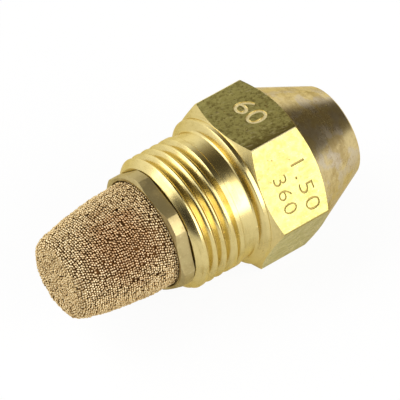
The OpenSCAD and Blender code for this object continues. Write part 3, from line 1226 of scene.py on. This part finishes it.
@dataclass
class SinteredFilter:
    """The thimble of bonded bronze beads: its wall in two halves, and its end.

    Attributes:
        rounding_starts: Share of the length where the rounding of the end begins.
        skin: How far the core lies inside the surface.
        bead: Radius of a bead.
        sizes: Smallest and largest size of a bead, where 1 is the radius above.
        sunk: How far the middles of the largest beads lie inside the surface, in radii.
        clear: Space left between the surface and the beads that stand out most.
        row: Distance between two rows of beads.
        spacing: Distance between two beads in a row.
        row_turn: Turn of each row against the one before, in radians, so that no seam shows.
        jitter: How far a bead may lie from its place in the row.
        dents: How deep the uneven surface dips.
        dented: The noise's levels where a dip begins and where it is as deep as that.
        missing: Share of the beads that are missing and leave an open pore.
        steps: Straight parts of the side's curve.
        seed: First seed of what differs from bead to bead.
    """

    holder_rear: float = -4.605
    recess: float = 0.6
    length: float = 10.44
    base_radius: float = 5.74
    end_radius: float = 4.29
    wall: float = 0.75
    end_edge: float = 1.15
    rounding_starts: float = 0.945
    skin: float = 0.31
    bead: float = 0.142
    sizes: Point = (0.88, 1.12)
    sunk: float = 1.14
    clear: float = 0.01
    row: float = 0.238
    spacing: float = 0.272
    row_turn: float = 0.7
    jitter: float = 0.045
    dents: float = 0.08
    dented: Point = (0.65, 0.35)
    missing: float = 0.018
    steps: int = 24
    seed: int = 11

    def radius(self, share: float) -> float:
        """Gives the filter's radius at a share of its length from the holder."""
        return self.base_radius - (self.base_radius - self.end_radius) * share**2

    def slope(self) -> float:
        """Gives the side's angle to the axis where the rounding of the end starts."""
        return math.atan(2 * (self.base_radius - self.end_radius) / self.length * self.rounding_starts)

    def side(self, inset: float) -> list[Point]:
        """Gives points along the side from the holder to where the end's rounding starts.

        Args:
            inset: How far they lie inside the surface.

        Returns:
            Points (place along the axis, radius).
        """
        reach = self.length - self.end_edge * (1 - math.sin(self.slope()))
        shares = [i / self.steps for i in range(self.steps + 1)]
        return [(self.holder_rear - reach * s, self.radius(reach * s / self.length) - inset) for s in shares]

    def edge(self, inset: float) -> list[Point]:
        """Gives the rounding between side and end.

        Args:
            inset: How far it lies inside the surface.

        Returns:
            Points (place along the axis, radius).
        """
        x, r = self.side(0.0)[-1]
        slope = self.slope()
        middle = (x + self.end_edge * math.sin(slope), r - self.end_edge * math.cos(slope))
        return rounded(*middle, self.end_edge - inset, 90 + math.degrees(slope), 180, 7)

    def core(self) -> Object:
        """Turns the thimble that the beads are bonded to.

        Returns:
            The closed thimble, in millimetres.
        """
        foot, end = self.holder_rear + self.recess, self.holder_rear - self.length
        outline = [
            (foot, self.base_radius - self.skin),
            *self.side(self.skin)[:-1],
            *self.edge(self.skin),
            (end + self.skin, 0.0),
            (end + self.wall, 0.0),
            *reversed(self.side(self.wall)),
            (foot, self.base_radius - self.wall),
        ]
        return lathe("sintered_core", outline, 96)

    def ring_places(self) -> list[Point]:
        """Gives the place and radius of each row of beads, from inside the holder to the end's middle.

        Returns:
            Points (place along the axis, radius), one row apart.
        """
        depth = self.bead * self.sunk + self.jitter + self.clear
        path = [
            (self.holder_rear + self.recess / 2, self.base_radius - depth),
            *self.side(depth)[:-1],
            *self.edge(depth),
            (self.holder_rear - self.length + depth, 0.0),
        ]
        places, travelled = [path[0]], 0.0
        for (x0, r0), (x1, r1) in zip(path, path[1:]):
            step = math.dist((x0, r0), (x1, r1))
            while travelled + step >= self.row:
                share = (self.row - travelled) / step
                x0, r0 = x0 + (x1 - x0) * share, r0 + (r1 - r0) * share
                places.append((x0, r0))
                step, travelled = step * (1 - share), 0.0
            travelled += step
        return places

    def lay_rows(self, name: str, rows: Sequence[Point]) -> Object:
        """Lays one ring of points for each row of beads, every second one turned by half a bead.

        Args:
            name: The object's name.
            rows: Place and radius of each row.

        Returns:
            The rings, whose points are the beads' middles.
        """
        start_clean()
        for number, (x, r) in enumerate(rows):
            # The last row lies on the axis, and its ring still needs three points and a width
            count = max(3, round(math.tau * r / self.spacing))
            turn = math.pi / count * (number % 2) + self.row_turn * number
            facing = Matrix.Rotation(turn, 3, "X") @ Matrix.Rotation(math.radians(90), 3, "Y")
            bpy.ops.mesh.primitive_circle_add(
                vertices=count, radius=max(r, 0.02), location=(x, 0, 0), rotation=facing.to_euler()
            )
            if number == 0:
                rings = bpy.context.object
                rings.name = rings.data.name = name
                bpy.ops.object.transform_apply(location=True, rotation=True, scale=True)
                bpy.ops.object.mode_set(mode="EDIT")
        bpy.ops.object.mode_set(mode="OBJECT")
        return rings

    def one_bead(self) -> Object:
        """Models one bead's dome, open at its foot, with its rise kept as an attribute.

        Returns:
            The bead, in millimetres, pointing up.
        """
        start_clean()
        bpy.ops.mesh.primitive_uv_sphere_add(segments=8, ring_count=6, radius=self.bead, location=(0, 0, 0))
        bead = bpy.context.object
        bpy.ops.object.mode_set(mode="EDIT")
        bpy.ops.mesh.select_all(action="SELECT")
        bpy.ops.mesh.bisect(plane_co=(0, 0, -0.1 * self.bead), plane_no=(0, 0, 1), clear_inner=True)
        bpy.ops.object.mode_set(mode="OBJECT")
        bpy.ops.object.shade_smooth()
        rise = bead.data.attributes.new("rise", "FLOAT", "POINT")
        for vertex, cell in zip(bead.data.vertices, rise.data):
            cell.value = max(0.0, vertex.co.z / self.bead)
        return bead

    def shift(self, bench: NodeBench, outward: NodeSocket, seed: int) -> NodeSocket:
        """Moves each bead a little off its place, and inwards where the surface dips.

        Args:
            bench: The bench that adds to the modifier's nodes.
            outward: The surface's direction at each bead.
            seed: Seed of the draw.

        Returns:
            The move.
        """
        first, full = self.dented
        uneven = bench.number("ShaderNodeTexNoise", {}, {"Scale": 0.9, "Detail": 2.0}, "Fac")
        level = (uneven - first).least(0.0) * (self.dents / (first - full))
        dent = bench.node("ShaderNodeVectorMath", {"operation": "SCALE"}, {0: outward, "Scale": level})
        limits = {0: (-self.jitter,) * 3, 1: (self.jitter,) * 3}
        both = {0: dent.outputs[0], 1: bench.random(Draw.VECTOR, seed, limits)}
        return bench.node("ShaderNodeVectorMath", {"operation": "ADD"}, both).outputs[0]

    def bond(self, rings: Object, bead: Object, core: Object, seed: int) -> None:
        """Sets a bead on each point of the rings, and drops the rings.

        Args:
            rings: The rings, which become the beads.
            bead: The bead that is copied.
            core: The thimble, whose surface the beads stand on.
            seed: Seed of what differs from bead to bead.
        """
        tree = bpy.data.node_groups.new("bead_rows", "GeometryNodeTree")
        for way in ("INPUT", "OUTPUT"):
            tree.interface.new_socket("Geometry", in_out=way, socket_type="NodeSocketGeometry")
        bench = NodeBench(tree)
        source = bench.node("NodeGroupInput").outputs[0]
        shell = bench.node("GeometryNodeObjectInfo", {}, {"Object": core}).outputs["Geometry"]
        normal = bench.node("GeometryNodeInputNormal").outputs[0]
        nearest = {"Mesh": shell, "Value": normal}
        near = bench.node("GeometryNodeSampleNearestSurface", {"data_type": "FLOAT_VECTOR"}, nearest)
        outward = near.outputs["Value"]
        move = {"Geometry": source, "Offset": self.shift(bench, outward, seed)}
        shape = bench.node("GeometryNodeObjectInfo", {}, {"Object": bead}).outputs["Geometry"]
        upright = bench.node("FunctionNodeAlignRotationToVector", {"axis": "Z"}, {"Vector": outward})
        there = {"Probability": 1.0 - self.missing}
        copies = {
            "Points": bench.node("GeometryNodeSetPosition", {}, move).outputs[0],
            "Selection": bench.random(Draw.CHOICE, seed + 3, there),
            "Instance": shape,
            "Rotation": upright.outputs[0],
            "Scale": bench.random(Draw.NUMBER, seed + 1, {2: self.sizes[0], 3: self.sizes[1]}),
        }
        toned = {
            "Geometry": bench.node("GeometryNodeInstanceOnPoints", {}, copies).outputs[0],
            "Name": "tone",
            "Value": bench.random(Draw.NUMBER, seed + 2, {}),
        }
        each = {"data_type": "FLOAT", "domain": "INSTANCE"}
        kept = bench.node("GeometryNodeStoreNamedAttribute", each, toned)
        real = bench.node("GeometryNodeRealizeInstances", {}, {0: kept.outputs[0]})
        bench.node("NodeGroupOutput", {}, {0: real.outputs[0]})
        apply_modifier(rings, "NODES", node_group=tree)
        bpy.data.node_groups.remove(tree)

    def build(self) -> list[Object]:
        """Makes the core and the beads of the wall's two halves and of the end, and dresses them.

        Returns:
            The finished pieces.
        """
        bead, core, rows = self.one_bead(), self.core(), self.ring_places()
        end_starts = self.side(0.0)[-1][0]
        middle = (self.holder_rear + end_starts) / 2
        parts = {
            "filter_base_beads": [row for row in rows if row[0] >= middle],
            "filter_wall_beads": [row for row in rows if end_starts <= row[0] < middle],
            "filter_end_beads": [row for row in rows if row[0] < end_starts],
        }
        pieces = [core]
        for number, (name, part) in enumerate(parts.items()):
            rings = self.lay_rows(name, part)
            self.bond(rings, bead, core, self.seed + 12 * number)
            pieces.append(rings)
        bpy.data.objects.remove(bead)
        # The core keeps no rise, so the bronze paints it nearly all in the painted shade of the beads' feet.
        bronze = SinteredBronze("sintered_bronze").build()
        for piece in pieces:
            dress_in(piece, bronze)
            finish_mesh(piece, 28.0 if piece is core else 60.0)
            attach(piece, Body.FILTER.value)
        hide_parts("sintered_filter")
        return pieces


@dataclass(frozen=True)
class InnerParts:
    """The steel disc and distributor and the lock screw, whose solids are shown as they are."""

    def dress(self, nodes: dict[str, Object]) -> list[Object]:
        """Gives the solids inside the body their finishes.

        Args:
            nodes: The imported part's nodes by name.

        Returns:
            The dressed nodes.
        """
        finishes = {
            "orifice_disc": GroundSteel("disc_ground_steel"),
            "swirl_distributor": GroundSteel("distributor_ground_steel", (0.56, 0.56, 0.55, 1.0), 0.3),
            "lock_screw": TurnedBrass("screw_turned_brass"),
        }
        for name, finish in finishes.items():
            dress_in(nodes[name], finish.build())
        return [nodes[name] for name in finishes]


# Studio


@dataclass(frozen=True)
class Softbox:
    """A rectangular lamp that faces the nozzle.

    Attributes:
        name: Its name.
        direction: Direction from the nozzle to the lamp.
        distance: Distance from the nozzle in metres.
        size: Its width and height in metres.
        brightness: How bright its face looks, where white paper in the room is 1.
    """

    name: str
    direction: Place
    distance: float
    size: Point
    brightness: float

    def build(self) -> None:
        """Adds the lamp."""
        start_clean()
        towards = Vector(self.direction).normalized()
        bpy.ops.object.light_add(type="AREA", location=towards * self.distance)
        lamp = bpy.context.object
        lamp.name = self.name
        lamp.data.shape = "RECTANGLE"
        lamp.data.size, lamp.data.size_y = self.size
        lamp.data.energy = self.brightness * math.pi * self.size[0] * self.size[1]
        lamp.rotation_euler = towards.to_track_quat("Z", "Y").to_euler()


@dataclass(frozen=True)
class DarkPart:
    """A dark part of the white room, with a soft edge.

    Attributes:
        direction: Direction of its middle.
        outer: Cosine of the angle from its middle where it starts.
        inner: Cosine of the angle from its middle where it is darkest.
        brightness: How bright its middle is.
    """

    direction: Place
    outer: float
    inner: float
    brightness: float


@dataclass
class Studio:
    """The white floor, the room's light, the lamps and the camera.

    Attributes:
        floor_height: Height of the floor, which the hexagon's lower flat lies on.
        floor_size: Width of the floor.
        floor_glow: Share of the floor that is plain white to the camera.
        mirrored_glow: Share of it that is plain white in the metal.
        doorstep: Distance before the filter over which the mirrored floor darkens to the doorway.
        doorstep_colour: The mirrored floor's colour at the doorway.
        walls: Brightness of the room.
        dim_light: Colour of the light from the darkest parts of the room.
        dark_parts: The dim and the dark part of the ceiling, the wall beyond the nose and a doorway.
        lamps: The lamps.
        aim: Point that the camera looks at.
        away: Direction from that point to the camera.
        up: Direction that is up in the picture.
        view_width: Width of what the camera frames.
        lens: Length of its lens in millimetres.
        sensor: Width of its sensor in millimetres.
        reach: Distances between which it sees.
    """

    floor_height: float = -7.9375 * MM
    floor_size: float = 3.0
    floor_glow: float = 0.93
    mirrored_glow: float = 0.35
    doorstep: Point = (0.045, 0.075)
    doorstep_colour: Colour = (0.04, 0.03, 0.02, 1.0)
    walls: float = 1.2
    dim_light: Colour = (1.0, 0.84, 0.55, 1.0)
    dark_parts: Sequence[DarkPart] = (
        DarkPart((0.40, -0.12, 0.91), 0.42, 0.84, 0.30),
        DarkPart((0.40, -0.12, 0.91), 0.75, 0.98, 0.06),
        DarkPart((0.94, -0.08, 0.30), 0.80, 0.90, 0.12),
        DarkPart((-0.94, -0.27, 0.16), 0.86, 0.925, 0.02),
    )
    lamps: Sequence[Softbox] = (
        Softbox("side_softbox", (0.40, -0.80, 0.43), 0.5, (0.50, 0.46), 2.8),
        Softbox("rear_softbox", (-0.79, 0.37, 0.49), 0.6, (0.36, 0.40), 1.55),
        Softbox("top_softbox", (-0.42, 0.42, 0.80), 0.6, (0.55, 0.45), 1.7),
    )
    aim: Place = (2.339 * MM, 0.157 * MM, 0.182 * MM)
    away: Place = (-0.3955, -0.6169, 0.6804)
    up: Place = (0.4453, 0.5191, 0.7295)
    view_width: float = 39.25 * MM
    lens: float = 400.0
    sensor: float = 36.0
    reach: Point = (0.01, 10.0)

    def build(self) -> None:
        """Builds the floor, the room, the lamps and the camera."""
        self.floor()
        self.room()
        for lamp in self.lamps:
            lamp.build()
        self.camera()

    def floor(self) -> None:
        """Lays a white floor, which keeps a soft shadow under the nozzle."""
        start_clean()
        bpy.ops.mesh.primitive_plane_add(size=self.floor_size, location=(0, 0, self.floor_height))
        floor = bpy.context.object
        floor.name = "floor"
        material, bench = new_bench("white_floor")
        matt = {"Base Color": (0.9, 0.9, 0.9, 1.0), "Roughness": 0.8, "Specular IOR Level": 0.0}
        paper = bench.node("ShaderNodeBsdfPrincipled", {}, matt)
        ray = bench.node("ShaderNodeLightPath").outputs
        seen, through, mirrored = (
            Signal(bench, ray[f"Is {kind} Ray"]) for kind in ("Camera", "Transmission", "Glossy")
        )
        x, y, _ = bench.axes(bench.place(1.0))
        far = (x * -1).ramp(*self.doorstep) * (y * -1).ramp(0.0, self.doorstep[0])
        plain = (seen + through) * self.floor_glow
        reflected = mirrored * (far * (1.0 - self.mirrored_glow) + self.mirrored_glow)
        colour = bench.mix(mirrored * far, WHITE, self.doorstep_colour)
        glow = bench.node("ShaderNodeEmission", {}, {"Color": colour, "Strength": 1.0})
        parts = {0: (plain + reflected).least(1.0), 1: paper.outputs[0], 2: glow.outputs[0]}
        both = bench.node("ShaderNodeMixShader", {}, parts)
        bench.node("ShaderNodeOutputMaterial", {}, {"Surface": both.outputs[0]})
        floor.data.materials.append(material)

    def room(self) -> None:
        """Lights the room: white walls with its dark parts."""
        world = bpy.data.worlds.new("room")
        bpy.context.scene.world = world
        world.use_nodes = True
        bench = NodeBench(world.node_tree)
        where = bench.node("ShaderNodeTexCoord").outputs["Generated"]
        level = self.walls
        for part in self.dark_parts:
            ends = {0: where, 1: tuple(Vector(part.direction).normalized())}
            facing = bench.number("ShaderNodeVectorMath", {"operation": "DOT_PRODUCT"}, ends, "Value")
            share = facing.ramp(part.outer, part.inner)
            level = share * (part.brightness - level) + level
        colour = bench.mix(level.ramp(0.1, 0.7), self.dim_light, WHITE)
        light = bench.node("ShaderNodeBackground", {}, {"Color": colour, "Strength": level})
        bench.node("ShaderNodeOutputWorld", {}, {"Surface": light.outputs[0]})

    def camera(self) -> None:
        """Sets the long-lens camera that frames the whole nozzle."""
        start_clean()
        away, up = Vector(self.away).normalized(), Vector(self.up)
        up = (up - away * up.dot(away)).normalized()
        right = up.cross(away)
        distance = self.view_width * self.lens / self.sensor
        bpy.ops.object.camera_add(location=Vector(self.aim) + away * distance)
        camera = bpy.context.object
        camera.name = "camera"
        camera.rotation_euler = Matrix((right, up, away)).transposed().to_euler()
        camera.data.lens, camera.data.sensor_width = self.lens, self.sensor
        camera.data.clip_start, camera.data.clip_end = self.reach
        bpy.context.scene.camera = camera
        bpy.context.scene.view_settings.view_transform = "Standard"


def report(pieces: Iterable[Object]) -> None:
    """Logs the number of triangles of each piece.

    Args:
        pieces: The finished pieces.
    """
    for piece in pieces:
        triangles = sum(len(face.vertices) - 2 for face in piece.data.polygons)
        LOG.info("%s: %d triangles", piece.name, triangles)


def main() -> None:
    """Builds every piece, the studio and the camera."""
    logging.basicConfig(level=logging.INFO, format="%(name)s: %(message)s")
    Studio().build()
    report([NozzleBody().build()])
    report([FilterHolder().build()])
    report(SinteredFilter().build())
    report(InnerParts().dress(frame["nodes"]))


if __name__ == "__main__":
    main()
